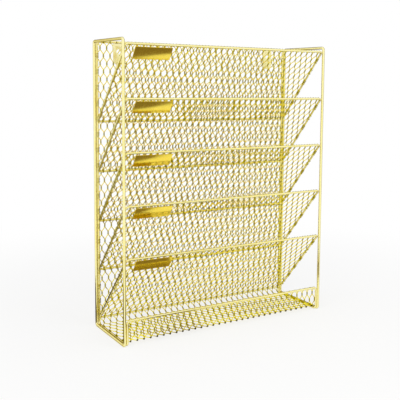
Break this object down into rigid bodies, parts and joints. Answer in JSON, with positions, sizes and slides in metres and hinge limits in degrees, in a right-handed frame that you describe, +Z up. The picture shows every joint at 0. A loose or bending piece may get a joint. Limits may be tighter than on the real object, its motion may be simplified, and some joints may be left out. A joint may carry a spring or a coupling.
{
  "type": "wall file organizer",
  "caption": "Gold welded-wire wall file organizer: sloping netting pockets with label plates over a shallow tray, in an open frame with hanger tabs.",
  "frame": {"origin": "middle of the footprint, on the surface that the organizer stands on", "axes": "+Z up, +X to the right seen from the front, -Y towards the front, +Y towards the wall"},
  "size_m": [0.325, 0.105, 0.405],
  "materials": {
    "gold_wire": "polished",
    "gold_netting": "polished",
    "gold_plate": "mirror polished"
  },
  "bodies": {
    "root": {"left_side_frame": "gold_wire", "right_side_frame": "gold_wire", "panel_frame": "gold_wire", "back_mesh": "gold_netting", "pocket_1_frame": "gold_wire", "pocket_1_mesh": "gold_netting", "pocket_1_label_plate": "gold_plate", "pocket_2_frame": "gold_wire", "pocket_2_mesh": "gold_netting", "pocket_2_label_plate": "gold_plate", "pocket_3_frame": "gold_wire", "pocket_3_mesh": "gold_netting", "pocket_3_label_plate": "gold_plate", "pocket_4_frame": "gold_wire", "pocket_4_mesh": "gold_netting", "pocket_4_label_plate": "gold_plate", "pocket_5_frame": "gold_wire", "pocket_5_mesh": "gold_netting", "pocket_5_label_plate": "gold_plate", "tray_mesh": "gold_netting", "left_hanger_tab": "gold_plate", "right_hanger_tab": "gold_plate"}
  },
  "joints": []
}
